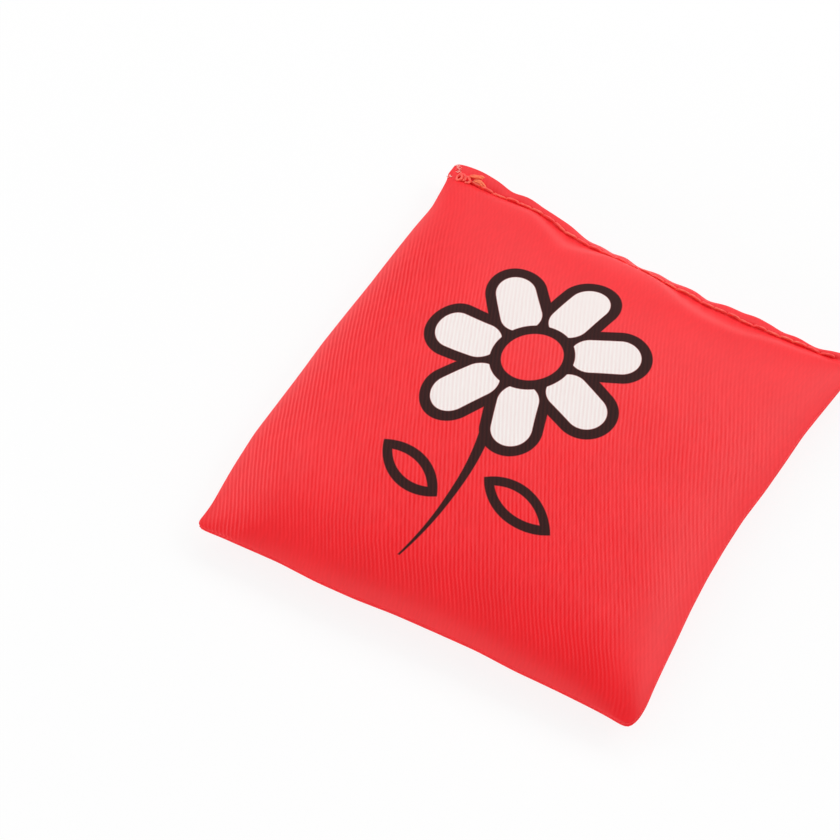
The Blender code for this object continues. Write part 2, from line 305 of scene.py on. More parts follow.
def filled_sheets():
    """The front and back sheets as grids of points, row by row, of a bag swollen by its pellets.

    Both start from a plain pillow held at its seams. Cloth simulation then lets the flat-cut cloth find
    its own curve between the seams, with the small puckers of spare cloth beside them.
    """
    across, along = flat_grid()
    x, y = plan_point(across, along)
    level = seam_level(across, along)
    unit_across = across / FLAT_HALF
    unit_along = 2 * (along + FLAT_HALF) / (2 * FLAT_HALF - FLANGE) - 1
    top = level + (TOP - CLOTH - SEAM_LEVEL) * swelling(unit_across, unit_along, *CROWN_SWELL)
    full = np.minimum(1.0, BELLY_FULLNESS * swelling(unit_across, unit_along, *BELLY_SWELL))
    low = level - (level - CLOTH) * (1 - (1 - full) ** 2)
    points, faces, front_ids, back_ids = two_sided(np.stack([x, y, top], 2), np.stack([x, y, low], 2))

    # Spare cloth is eased in along the seams, most of all where the closing row of stitches gathers it
    by_sides = np.exp(-(FLAT_HALF - np.abs(across)) / SIDE_EASE_REACH)
    by_closing = np.exp(-(FLAT_HALF - FLANGE - along) / CLOSING_EASE_REACH)
    by_near = np.exp(-(along + FLAT_HALF) / SIDE_EASE_REACH)
    rest_x = across * (1 + CLOSING_EASE * by_closing + SIDE_EASE * by_near)
    rest_y = along * (1 + SIDE_EASE * by_sides)
    flat = np.stack([rest_x, rest_y, 0 * rest_x], 2)
    flat = two_sided(flat, flat)[0]
    seam_ids = np.concatenate([front_ids[0], front_ids[-1], front_ids[:, 0], front_ids[:, -1]])
    settled = settle(points, flat, faces, sorted(set(seam_ids.tolist())))
    return settled[front_ids], settled[back_ids]


def settle(points, flat, faces, held):
    """Runs the cloth simulation, at ten times real size for the solver's sake, and returns its points."""
    scale = 10.0
    last_frame = 40
    bag = add_mesh("settling_bag", points * scale, faces)
    bag.vertex_groups.new(name="seams").add(held, 1.0, "REPLACE")
    bag.shape_key_add(name="start")
    rest = bag.shape_key_add(name="flat cut")
    rest.data.foreach_set("co", (flat * scale).ravel())
    rest.value = 0
    floor = add_mesh("settling_ground", TABLE_CORNERS, [(0, 1, 2, 3)])
    floor.modifiers.new("collision", "COLLISION")
    floor.collision.thickness_outer = 0.002
    floor.collision.cloth_friction = 5
    cloth = bag.modifiers.new("cloth", "CLOTH")
    settings = cloth.settings
    settings.rest_shape_key = rest
    settings.vertex_group_mass = "seams"
    settings.quality = 6
    settings.mass = 0.05
    settings.tension_stiffness = 20
    settings.compression_stiffness = 20
    settings.shear_stiffness = 5
    settings.bending_stiffness = 0.1
    settings.tension_damping = 5
    settings.compression_damping = 5
    settings.shear_damping = 5
    settings.bending_damping = 0.5
    settings.use_pressure = True
    settings.uniform_pressure_force = 3
    settings.use_pressure_volume = True
    settings.target_volume = 0.1
    settings.pressure_factor = 1
    cloth.collision_settings.use_collision = True
    cloth.collision_settings.distance_min = 0.002
    cloth.collision_settings.use_self_collision = False
    cloth.point_cache.frame_end = last_frame
    scene = bpy.context.scene
    for number in range(1, last_frame + 1):
        scene.frame_set(number)
    evaluated = bag.evaluated_get(bpy.context.evaluated_depsgraph_get())
    moved = np.empty(len(points) * 3, np.float32)
    evaluated.to_mesh().vertices.foreach_get("co", moved)
    evaluated.to_mesh_clear()
    bpy.data.objects.remove(bag)
    bpy.data.objects.remove(floor)
    scene.frame_set(1)
    return moved.reshape(-1, 3).astype(float) / scale


def smoothed(grid, times):
    """The grid with the solver's cell-sized ripple taken out of its inner points."""
    grid = grid.copy()
    for _ in range(times):
        grid[1:-1, 1:-1] = grid[1:-1, 1:-1] / 2 + (
            grid[:-2, 1:-1] + grid[2:, 1:-1] + grid[1:-1, :-2] + grid[1:-1, 2:]
        ) / 8
    return grid


def lumps(grid, seed):
    """Low unevenness where pellets have crowded together under the cloth, fading out at the seams."""
    out = np.zeros(grid.shape[:2])
    for j, i in np.ndindex(out.shape):
        x, y = grid[j, i, :2] / MM
        for width, height, further in LUMPS:
            out[j, i] += height * noise.noise(Vector((x / width, y / width, seed + further)))
    steps = np.arange(CELLS + 1)
    edge = np.minimum(steps, CELLS - steps)
    return out * MM * (1 - np.exp(-((np.minimum.outer(edge, edge) / LUMP_FADE_CELLS) ** 2)))


def lumpy(sheet, side):
    """The settled sheet, smoothed, with its lumps; the table presses the back's nearly flat."""
    sheet = smoothed(sheet, 3)
    if side > 0:
        sheet[:, :, 2] += lumps(sheet, FRONT_SEED)
    else:
        sheet[:, :, 2] += lumps(sheet, BACK_SEED) * BACK_LUMP_SHARE
        sheet[:, :, 2] = np.maximum(sheet[:, :, 2], 1.05 * CLOTH)
    return sheet


# Panels


def waves(run, table):
    """Sum of the table's waves at places along the seam."""
    full_turn = 2 * math.pi
    return MM * sum(high * np.sin(full_turn * run / (length * MM) + start) for high, length, start in table)


def ruffle(run):
    """Rise of the flange's free edge at places along the closing seam, with the ripples of spare cloth."""
    return eased(FLANGE_RISE, run) + waves(run, FLANGE_RIPPLES)


def pressed(rows, flat_y):
    """The face's rows, with the strip beside the stitch row held down by the allowances under it."""
    inward = (FLAT_HALF - FLANGE - np.array(flat_y))[:, None]
    width = np.maximum(eased(PRESSED_STRIP, flat_grid()[0][0]), 0.05 * MM)
    freed = 1 - np.exp(-((inward / width) ** 2))
    rows = rows.copy()
    stitched_level = rows[-1, :, 2].copy()
    rows[:, :, 2] = stitched_level + (rows[:, :, 2] - stitched_level) * freed
    return rows


def edge_places(rows):
    """Grid places once round the edge, anticlockwise from the first corner."""
    near = [(0, i) for i in range(CELLS)]
    right = [(j, CELLS) for j in range(rows)]
    closing = [(rows, i) for i in range(CELLS, 0, -1)]
    left = [(j, 0) for j in range(rows, 0, -1)]
    return near + right + closing + left


def outward_directions(rim):
    """At each point of the closed seam line, the level direction that points off the bag, mitred."""
    ahead = np.roll(rim, -1, axis=0) - rim
    behind = rim - np.roll(rim, 1, axis=0)
    sides = []
    for step in (ahead, behind):
        side = np.stack([step[:, 1], -step[:, 0]], 1)
        sides.append(side / np.linalg.norm(side, axis=1)[:, None])
    mitre = sides[0] + sides[1]
    mitre /= (mitre * sides[0]).sum(1)[:, None]
    return np.concatenate([mitre, np.zeros((len(rim), 1))], 1)


def with_flange(sheet):
    """The sheet's rows with the flange's past them, their places on the flat cloth, and the sewn row."""
    across, along = flat_grid()
    flat_x = across[0]
    flat_y = list(along[:-1, 0])

    # Two more rows beside the stitch row let its groove be narrow
    stitched = sheet[-1]
    rows = list(sheet[:-1])
    for inward in GROOVE_ROWS:
        share = 1 - inward / (along[-1, 0] - along[-2, 0])
        rows.append(sheet[-2] + (stitched - sheet[-2]) * share)
        flat_y.append(FLAT_HALF - FLANGE - inward)
    rows.append(stitched)
    flat_y.append(FLAT_HALF - FLANGE)
    sewn_row = len(rows) - 1
    rows = list(pressed(np.array(rows), flat_y))

    edge_line = np.full(CELLS + 1, FLAT_HALF)
    edge_x, edge_y = plan_point(flat_x, edge_line)
    edge_z = seam_level(flat_x, edge_line) + ruffle(flat_x)
    edge = np.stack([edge_x, edge_y, edge_z], 1)
    for share in FLANGE_ROWS:
        row = stitched + (edge - stitched) * share
        row[:, 2] = stitched[:, 2] + (edge[:, 2] - stitched[:, 2]) * share**1.3
        rows.append(row)
        flat_y.append(FLAT_HALF - FLANGE * (1 - share))
    return np.array(rows), np.array(flat_y), sewn_row


def layers_under(flat_y, sewn_row):
    """How far the layers inside raise each face off the seam's middle, less what the stitches draw in."""
    flat_x = flat_grid()[0][0]
    in_from_side = FLAT_HALF - np.abs(flat_x)
    in_from_end = np.minimum(flat_y + FLAT_HALF, np.maximum(FLAT_HALF - FLANGE - flat_y, 0))
    from_seam = np.minimum.outer(in_from_end, in_from_side)
    raised = CLOTH / 2 + (OUTER_LEVEL - CLOTH / 2) * np.exp(-((from_seam / LAYERS_REACH) ** 2))
    steps = np.arange(CELLS + 1)
    sewn = (steps >= FIRST_HOLE) & (steps <= CELLS - FIRST_HOLE)
    at_hole = (steps - FIRST_HOLE) % CELLS_PER_STITCH == 0
    pinch = np.where(sewn, np.where(at_hole, HOLE_PINCH, STITCH_PINCH), 0.0) * MM
    for offset, share, crease in SEWN_GROOVE:
        raised[sewn_row + offset] -= share * pinch + np.where(sewn, crease, 0.0) * MM
    for offset, puff in FLANGE_PUFFS:
        raised[sewn_row + offset] += puff * MM * (1 + 0.5 * np.sin(flat_x / PUFF_RIPPLE))
    return raised


def fold_ring(centre, upward, outward, degrees):
    """Points at one turn round the edge fold."""
    turn = math.radians(degrees)
    return centre + (upward * math.sin(turn) - outward * math.cos(turn)) * FOLD_RADIUS


def turned_edge(seam, sewn_row, side):
    """The panel's edge: its places in the grid, the points that the face ends on, and the rings after them.

    The rings go round the fold, and then back inside as the allowance. Each comes with how far past
    the seam line it lies on the flat cloth.
    """
    last = len(seam) - 1
    upward = np.array([0, 0, float(side)])
    rim = edge_places(last)
    seam_line = np.array([seam[j, i] for j, i in rim])
    outward = outward_directions(seam_line)
    centre = seam_line + FOLD_LEVEL * upward
    rings = []
    for degrees in FOLD_TURNS:
        past_seam = FOLD_RADIUS * (math.radians(degrees) - math.pi / 2)
        rings.append((fold_ring(centre, upward, outward, degrees), past_seam))
    for depth in (FLANGE, 0.65 * ALLOWANCE, ALLOWANCE):
        ring = seam_line - outward * depth
        for place, (j, i) in enumerate(rim):
            if j == last and 0 < i < CELLS:
                ring[place] = seam[sewn_row, i] - outward[place] * (depth - FLANGE)
            elif sewn_row - 3 < j < last:
                for axis in (1, 2):
                    ring[place, axis] = np.interp(ring[place, 0], seam[j, :, 0], seam[j, :, axis])
        rings.append((ring + upward * (FOLD_LEVEL - FOLD_RADIUS), depth + FOLD_RADIUS * math.pi))
    return rim, fold_ring(centre, upward, outward, FACE_END_TURN), rings


def mark_flat_places(mesh, flat):
    """Keeps each point's place on the flat cloth as a UV map, which carries the weave and the print."""
    uv = mesh.uv_layers.new(name="flat cloth")
    corners = np.empty(len(mesh.loops), np.int32)
    mesh.loops.foreach_get("vertex_index", corners)
    places = np.array(flat)[corners] / (UV_SPAN * MM) + 0.5
    uv.data.foreach_set("uv", places.astype(np.float32).ravel())


def panel(name, sheet, side, levels, finish):
    """One twill panel: the swollen face, the sewn flange, the turned edge and the allowance inside it.

    side is 1 for the front and -1 for the back.
    """
    seam, flat_y, sewn_row = with_flange(lumpy(sheet, side))
    surface = seam.copy()
    surface[:, :, 2] += side * layers_under(flat_y, sewn_row)
    rim, face_end, rings = turned_edge(seam, sewn_row, side)
    for (j, i), point in zip(rim, face_end):
        surface[j, i] = point

    size = CELLS + 1
    flat_x = flat_grid()[0][0]
    flat = [(x, y) for y in flat_y for x in flat_x]
    points = surface.reshape(-1, 3).tolist()
    edge_ids = [[j * size + i for j, i in rim]]
    for ring, past_seam in rings:
        edge_ids.append(list(range(len(points), len(points) + len(rim))))
        points.extend(ring.tolist())
        grown = 1 + past_seam / FLAT_HALF
        flat.extend((flat_x[i] * grown, flat_y[j] * grown) for j, i in rim)
    faces = []
    for j in range(len(seam) - 1):
        for i in range(CELLS):
            a = j * size + i
            faces.append((a, a + 1, a + 1 + size, a + size))
    for inner, outer in zip(edge_ids, edge_ids[1:]):
        for k in range(len(rim)):
            after = (k + 1) % len(rim)
            faces.append((inner[after], inner[k], outer[k], outer[after]))
    if side < 0:
        faces = [face[::-1] for face in faces]

    piece = add_mesh(name, points, faces, finish)
    mark_flat_places(piece.data, flat)
    finer = piece.modifiers.new("finer cloth", "SUBSURF")
    finer.levels = levels
    finer.render_levels = levels
    finer.uv_smooth = "PRESERVE_BOUNDARIES"
    shell = piece.modifiers.new("cloth thickness", "SOLIDIFY")
    shell.thickness = CLOTH
    shell.offset = 0
    return piece


# Threads and fibres


class ClothFace:
    """Finds the outer face of a finished panel over a place in plan; side is 1 above and -1 below."""

    def __init__(self, piece, side):
        evaluated = piece.evaluated_get(bpy.context.evaluated_depsgraph_get())
        mesh = evaluated.to_mesh()
        self.tree = BVHTree.FromPolygons([v.co for v in mesh.vertices], [p.vertices for p in mesh.polygons])
        evaluated.to_mesh_clear()
        self.side = side

    def height(self, x, y):
        start = Vector((x, y, 100 * MM * self.side))
        hit = self.tree.ray_cast(start, Vector((0, 0, -self.side)))[0]
        return hit.z if hit else SEAM_LEVEL + self.side * OUTER_LEVEL


def resampled(route, step):
    """The route as points an even step apart."""
    route = np.array(route, float)
    run = np.concatenate([[0], np.cumsum(np.linalg.norm(np.diff(route, axis=0), axis=1))])
    places = np.linspace(0, run[-1], max(4, int(run[-1] / step)))
    return np.stack([np.interp(places, run, route[:, axis]) for axis in range(3)], 1)


def tube(routes, radius_at, around):
    """Points and faces of a closed tube along each route, with so many points around.

    radius_at takes the turn round the tube, the run along it and the number of points to its nearer end.
    """
    points = []
    faces = []
    for route in routes:
        ahead = np.gradient(route, axis=0)
        ahead /= np.linalg.norm(ahead, axis=1)[:, None]
        normal = np.cross(ahead[0], (0.3, 0.5, 0.8))
        run = np.concatenate([[0], np.cumsum(np.linalg.norm(np.diff(route, axis=0), axis=1))])
        base = len(points)
        for k, spot in enumerate(route):
            normal = normal - ahead[k] * normal.dot(ahead[k])
            normal /= np.linalg.norm(normal)
            other = np.cross(ahead[k], normal)
            for a in range(around):
                turn = 2 * math.pi * a / around
                reach = radius_at(turn, run[k], min(k, len(route) - 1 - k))
                points.append(spot + reach * (math.cos(turn) * normal + math.sin(turn) * other))
        for k in range(len(route) - 1):
            low = base + k * around
            for a in range(around):
                b = (a + 1) % around
                faces.append((low + a, low + b, low + around + b, low + around + a))
        end = base + (len(route) - 1) * around
        faces.append(tuple(range(base + around - 1, base - 1, -1)))
        faces.append(tuple(range(end, end + around)))
    return points, faces


def plied_thread(name, routes, finish):
    """Three-ply thread along each route: its three lobes wind round it once in six radii."""
    twist = 6 * THREAD_RADIUS

    def reach(turn, run, from_end):
        rounded = (0.45, 0.85)[from_end] if from_end < 2 else 1.0
        return THREAD_RADIUS * rounded * (1 + 0.10 * math.cos(3 * turn - 2 * math.pi * run / twist))

    points, faces = tube([resampled(route, 0.11 * MM) for route in routes], reach, 12)
    return add_mesh(name, points, faces, finish)


def stitch_row(place):
    """Plan of the closing seam's stitch row at a place along the flat cloth."""
    x, y = plan_point(np.array([place]), np.array([FLAT_HALF - FLANGE]))
    return float(x[0]), float(y[0])


def closing_stitches(face, holes):
    """One side of the lockstitch: it lies on the cloth and is pulled into each needle hole."""
    route = []
    for place in np.linspace(holes[0], holes[-1], 12 * (len(holes) - 1) + 1):
        x, y = stitch_row(place)
        y += waves(place, STITCH_WANDER)
        to_hole = np.min(np.abs(holes - place))
        sunk = STITCH_SINK * math.exp(-((to_hole / STITCH_SINK_REACH) ** 2))
        lift = 0.5 * THREAD_RADIUS + waves(place, STITCH_LIFT)
        route.append((x, y, face.height(x, y) + face.side * (lift - sunk)))
    return route


def start_loops(face):
    """Slack loops of the needle thread between the corner and the first stitch."""
    route = []
    for share in np.linspace(0, 1, 97):
        turn = 2 * math.pi * LOOPS * share
        uneven = 1 + 0.3 * math.sin(0.45 * turn)
        x = (LOOPS_FROM[0] + LOOPS_ON[0] * share) * MM + LOOP_REACH[0] * uneven * MM * math.sin(turn)
        y = (LOOPS_FROM[1] + LOOPS_ON[1] * share) * MM + LOOP_REACH[1] * uneven * MM * math.cos(turn)
        over = 0.30 * MM * (1 + math.sin(turn + 0.7))
        route.append((x, y, face.height(x, y) + 0.7 * THREAD_RADIUS + over))
    return route


def back_tack(face):
    """Orange strands over the row's start: two passes, each a pair of threads pulled in at both ends."""
    routes = []
    for bends in (TACK_UPPER_PASS, TACK_LOWER_PASS):
        places = np.array(bends) * MM
        along = np.linspace(0, 1, len(places))
        for beside in (-TACK_SPREAD, TACK_SPREAD):
            route = []
            for share in np.linspace(0, 1, 41):
                x = np.interp(share, along, places[:, 0]) + 0.4 * beside
                y = np.interp(share, along, places[:, 1]) + beside
                from_end = min(share, 1 - share) * TACK_PASS_LENGTH * MM
                sunk = TACK_SINK * math.exp(-((from_end / TACK_SINK_REACH) ** 2))
                route.append((x, y, face.height(x, y) + 0.9 * THREAD_RADIUS - sunk))
            routes.append(smooth_route(route))
    return routes


def smooth_route(route):
    """The route with its corners rounded, and its ends kept."""
    route = np.array(route)
    for _ in range(12):
        route[1:-1] = (route[:-2] + 2 * route[1:-1] + route[2:]) / 4
    return route


def side_stitches(sheet, side):
    """The sewing of the three turned seams, on their inner side, between the ends of the opening."""
    rim = np.array([sheet[j, i] for j, i in edge_places(CELLS)])
    line = rim - outward_directions(rim) * SIDE_SEWING_INSET * MM
    line = np.concatenate([line[3 * CELLS + 2 :], line[: 2 * CELLS - 2]])
    line[:, 2] += side * SIDE_SEWING_LEVEL
    return line


def frayed_fibres(face, finish):
    """Fibres worked loose at the start of the closing seam: small tufts that lie on the cloth's corner."""
    pick = random.Random(7)
    routes = []
    for fibre in range(FIBRES):
        tuft = FIBRE_TUFTS[fibre % len(FIBRE_TUFTS)]
        x, y = (middle * MM + pick.gauss(0, FIBRE_SPREAD) * MM for middle in tuft)
        step = pick.uniform(0.3, 0.9) * MM / FIBRE_STEPS
        heading = pick.uniform(0, 2 * math.pi)
        curl = pick.uniform(-0.5, 0.5)
        route = []
        for _ in range(FIBRE_STEPS + 1):
            route.append((x, y, face.height(x, y) + 0.05 * MM + 0.16 * MM * pick.random()))
            x += step * math.cos(heading)
            y += step * math.sin(heading)
            heading += curl
        routes.append(smooth_route(route))
    points, faces = tube(routes, lambda turn, run, from_end: (0.07 if from_end else 0.035) * MM, 5)
    return add_mesh("frayed_fibres", points, faces, finish)


# Filling


def between_points(grid, rows, columns):
    """Points of the sheet at fractional places in its grid."""
    j = rows.astype(int)
    i = columns.astype(int)
    up = (rows - j)[..., None]
    over = (columns - i)[..., None]
    low = grid[j, i] * (1 - over) + grid[j, i + 1] * over
    high = grid[j + 1, i] * (1 - over) + grid[j + 1, i + 1] * over
    return low * (1 - up) + high * up


def pellet_centres():
    """Middles, in plan, of the outer pellets: rows packed closely and a little unevenly."""
    pick = random.Random(3)
    centres = []
    for row in range(-PELLETS_EACH_WAY, PELLETS_EACH_WAY + 1):
        for column in range(1 - PELLETS_EACH_WAY, PELLETS_EACH_WAY):
            x = column + row % 2 / 2 + pick.uniform(-PELLET_SHIFT, PELLET_SHIFT)
            y = row * math.sqrt(0.75) + pick.uniform(-PELLET_SHIFT, PELLET_SHIFT)
            centres.append((x * PELLET, y * PELLET))
    return np.array(centres)


def pellet_mass(front, back, finish):
    """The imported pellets: one closed mass just inside the cloth, rounded over each outer pellet."""
    inner = np.linspace(FILL_INSET_CELLS, CELLS - FILL_INSET_CELLS, 2 * CELLS + 1)
    rows, columns = np.meshgrid(inner, inner, indexing="ij")
    top = between_points(front, rows, columns)
    low = between_points(back, rows, columns)
    middle = (top + low) / 2
    half = np.maximum((top - low)[:, :, 2] / 2 - FILL_GAP, FILL_RIM_HALF)
    apart = middle[:, :, :2].reshape(-1, 1, 2) - pellet_centres()
    nearest = np.sqrt((apart**2).sum(2).min(1)).reshape(half.shape)
    sunk = PELLET / 2 - np.sqrt(np.maximum((PELLET / 2) ** 2 - nearest**2, 0.0))
    half = np.maximum(half - PELLET_RELIEF * sunk, FILL_LEAST_HALF)
    lift = np.zeros_like(middle)
    lift[1:-1, 1:-1, 2] = half[1:-1, 1:-1]
    points, faces, _, _ = two_sided(middle + lift, middle - lift)
    return add_mesh("pellet_mass", points, faces, finish)


# Materials

MATH = "ShaderNodeMath"
VECTOR = "ShaderNodeVectorMath"
RANGE = "ShaderNodeMapRange"
SPLIT = "ShaderNodeSeparateXYZ"
NOISE = "ShaderNodeTexNoise"
JOIN = "ShaderNodeCombineXYZ"
SMOOTH = {"interpolation_type": "SMOOTHSTEP"}


def node(tree, kind, settings=None, values=None, links=None):
    """Adds a node with its own settings and socket values, and links nodes or outputs to its sockets."""
    made = tree.nodes.new(kind)
    for name, value in (settings or {}).items():
        setattr(made, name, value)
    for name, value in (values or {}).items():
        made.inputs[name].default_value = value
    for name, source in (links or {}).items():
        output = source.outputs[0] if isinstance(source, bpy.types.Node) else source
        tree.links.new(output, made.inputs[name])
    return made


def new_material(name):
    """An empty material and its node tree."""
    made = bpy.data.materials.new(name)
    made.use_nodes = True
    made.node_tree.nodes.clear()
    return made, made.node_tree


def cloth_places(tree):
    """Millimetres across and along the flat cloth, from its middle."""
    uv = node(tree, "ShaderNodeUVMap", {"uv_map": "flat cloth"})
    middle = node(tree, VECTOR, {"operation": "SUBTRACT"}, {1: (0.5, 0.5, 0)}, {0: uv})
    return node(tree, VECTOR, {"operation": "SCALE"}, {"Scale": UV_SPAN}, {0: middle})


def warp_places(tree, place, split):
    """Millimetres across the warps, which wander and wriggle by a fraction of their pitch.

    Drawn over the near slope, they bow a little too, less so towards its left end.
    """
    wander = node(tree, NOISE, None, {"Scale": 0.07, "Detail": 3.0}, {"Vector": place})
    shift = {1: WARP_WANDER, 2: -WARP_WANDER / 2}
    wander = node(tree, MATH, {"operation": "MULTIPLY_ADD"}, shift, {0: wander})
    across = node(tree, MATH, {"operation": "ADD"}, None, {0: split.outputs[0], 1: wander})
    bow = node(tree, MATH, {"operation": "SUBTRACT"}, {0: BOW_FROM}, {1: split.outputs[1]})
    bow = node(tree, MATH, {"operation": "MAXIMUM"}, {1: 0.0}, {0: bow})
    bow = node(tree, MATH, {"operation": "MINIMUM"}, {1: BOW_RUN}, {0: bow})
    bow = node(tree, MATH, {"operation": "MULTIPLY"}, None, {0: bow, 1: bow})
    growth = {"From Min": -60.0, "From Max": -20.0, "To Min": 0.0, "To Max": BOW_GROWTH}
    growth = node(tree, RANGE, None, growth, {"Value": split.outputs[0]})
    across = node(tree, MATH, {"operation": "MULTIPLY_ADD"}, None, {0: bow, 1: growth, 2: across})
    wriggle = node(tree, NOISE, None, {"Scale": 0.4, "Detail": 1.0}, {"Vector": place})
    return node(tree, MATH, {"operation": "MULTIPLY_ADD"}, {1: WARP_WANDER}, {0: wriggle, 2: across})


def rib_fullness(tree, rib, split):
    """How far each rib stands out, unevenly as in real cloth, and the level that it stands out from.

    The iron has flattened the ribs beside the seams, most of all where the cloth turns down to the near
    seam, but less so in its two near corners, which are slack. The level sinks towards the near seam, so
    the cloth there takes its darker red: painted shade on the slope that faces away from the lamps.
    """
    stretch = node(tree, JOIN, None, None, {0: rib, 1: split.outputs[1]})
    stretch = node(tree, VECTOR, {"operation": "MULTIPLY"}, {1: (0.55, 0.28, 1.0)}, {0: stretch})
    fullness = node(tree, NOISE, None, {"Scale": 1.0, "Detail": 3.0}, {"Vector": stretch})
    uneven = {"From Min": 0.3, "From Max": 0.7, "To Min": 0.21, "To Max": 1.15}
    fullness = node(tree, RANGE, None, uneven, {"Value": fullness})

    # In the near corners the flattening and the painted shade start some millimetres further down
    above_near = split.outputs[1]
    for start, end, spared in ((-36.0, -45.0, 6.0), (38.0, 46.0, 4.0)):
        values = {"From Min": start, "From Max": end, "To Min": 0.0, "To Max": spared}
        corner = node(tree, RANGE, SMOOTH, values, {"Value": split.outputs[0]})
        above_near = node(tree, MATH, {"operation": "ADD"}, None, {0: above_near, 1: corner})

    # From start to end, in millimetres, the ribs go to a share of their height
    reach = node(tree, MATH, {"operation": "ABSOLUTE"}, None, {0: split.outputs[0]})
    nearness = node(tree, MATH, {"operation": "SUBTRACT"}, {0: 16.0}, {1: split.outputs[1]})
    right_corner = node(tree, MATH, {"operation": "MINIMUM"}, None, {0: split.outputs[0], 1: nearness})
    for source, start, end, share in (
        (split.outputs[0], -36.0, -44.0, 2.1),
        (right_corner, 39.0, 44.0, 0.35),
        (reach, 46.0, 49.5, 0.35),
        (above_near, -43.0, -48.0, 0.1),
        (split.outputs[1], 12.0, 38.0, 0.13),
    ):
        values = {"From Min": start, "From Max": end, "To Min": 1.0, "To Max": share}
        height = node(tree, RANGE, SMOOTH, values, {"Value": source})
        fullness = node(tree, MATH, {"operation": "MULTIPLY"}, None, {0: fullness, 1: height})
    # Painted shade: the level, and so the red, is lower where the cloth turns down to the near seam
    level = {"From Min": -47.0, "From Max": -31.0, "To Min": 0.12, "To Max": 0.5}
    level = node(tree, RANGE, SMOOTH, level, {"Value": above_near})
    return fullness, level


def twill_relief(tree, place):
    """Height of a 2/1 steep twill, and a number for each float.

    Each warp yarn floats over two wefts and dips under the third. Neighbouring warps dip one weft
    further on, so their floats line up in steep ribs 0.83 mm apart.
    """
    split = node(tree, SPLIT, None, None, {0: place})
    across = warp_places(tree, place, split)
    warp = node(tree, MATH, {"operation": "DIVIDE"}, {1: WARP_PITCH}, {0: across})
    number = node(tree, MATH, {"operation": "FLOOR"}, None, {0: warp})
    beside = node(tree, MATH, {"operation": "FRACT"}, None, {0: warp})
    weft = node(tree, MATH, {"operation": "DIVIDE"}, {1: WEFT_PITCH}, {0: split.outputs[1]})

    # Floats are a little skewed, which draws the steps between neighbouring yarns into one rib
    skewed = node(tree, MATH, {"operation": "MULTIPLY_ADD"}, {1: FLOAT_SKEW}, {0: beside, 2: number})
    step = node(tree, MATH, {"operation": "ADD"}, None, {0: weft, 1: skewed})
    turn = node(tree, MATH, {"operation": "MULTIPLY"}, {1: 2 * math.pi / 3}, {0: step})
    dip = node(tree, MATH, {"operation": "SINE"}, None, {0: turn})
    over = node(tree, RANGE, SMOOTH, {"From Min": -0.8, "From Max": 1.0}, {"Value": dip})

    # Each yarn is round, so its float is highest along its middle
    aside = node(tree, MATH, {"operation": "MULTIPLY_ADD"}, {1: 2.0, 2: -1.0}, {0: beside})
    squared = node(tree, MATH, {"operation": "MULTIPLY"}, None, {0: aside, 1: aside})
    crown = node(tree, MATH, {"operation": "MULTIPLY_ADD"}, {1: -0.25, 2: 1.0}, {0: squared})
    relief = node(tree, MATH, {"operation": "MULTIPLY"}, None, {0: over, 1: crown})

    rib = node(tree, MATH, {"operation": "ADD"}, None, {0: weft, 1: warp})
    fullness, level = rib_fullness(tree, rib, split)
    centred = node(tree, MATH, {"operation": "SUBTRACT"}, {1: 0.5}, {0: relief})
    relief = node(tree, MATH, {"operation": "MULTIPLY_ADD"}, None, {0: centred, 1: fullness, 2: level})

    # One number for each float lets it be dyed a little lighter or darker than the next
    float_number = node(tree, MATH, {"operation": "MULTIPLY_ADD"}, {1: 1 / 3, 2: -0.75}, {0: step})
    float_number = node(tree, MATH, {"operation": "FLOOR"}, None, {0: float_number})
    which = node(tree, JOIN, None, None, {0: number, 1: float_number})
    own = node(tree, "ShaderNodeTexWhiteNoise", {"noise_dimensions": "2D"}, None, {"Vector": which})
    return relief, own


def circle_distance(tree, place, centre, radius):
    """Distance from a circle's line, below zero inside it."""
    apart = node(tree, VECTOR, {"operation": "SUBTRACT"}, {1: (*centre, 0)}, {0: place})
    length = node(tree, VECTOR, {"operation": "LENGTH"}, None, {0: apart})
    return node(tree, MATH, {"operation": "SUBTRACT"}, {1: radius}, {0: length.outputs["Value"]})


def inside(tree, distance, edge=0.0):
    """1 where the distance is below the edge and 0 above it, with ink's slightly soft border."""
    soft = 0.12
    values = {"From Min": edge + soft, "From Max": edge - soft}
    return node(tree, RANGE, SMOOTH, values, {"Value": distance})


def chained(tree, operation, *parts):
    """The operation run over all the parts: MINIMUM joins shapes, and MAXIMUM keeps where they overlap."""
    result = parts[0]
    for part in parts[1:]:
        settings = {"operation": operation, "use_clamp": operation == "SUBTRACT"}
        result = node(tree, MATH, settings, None, {0: result, 1: part})
    return result


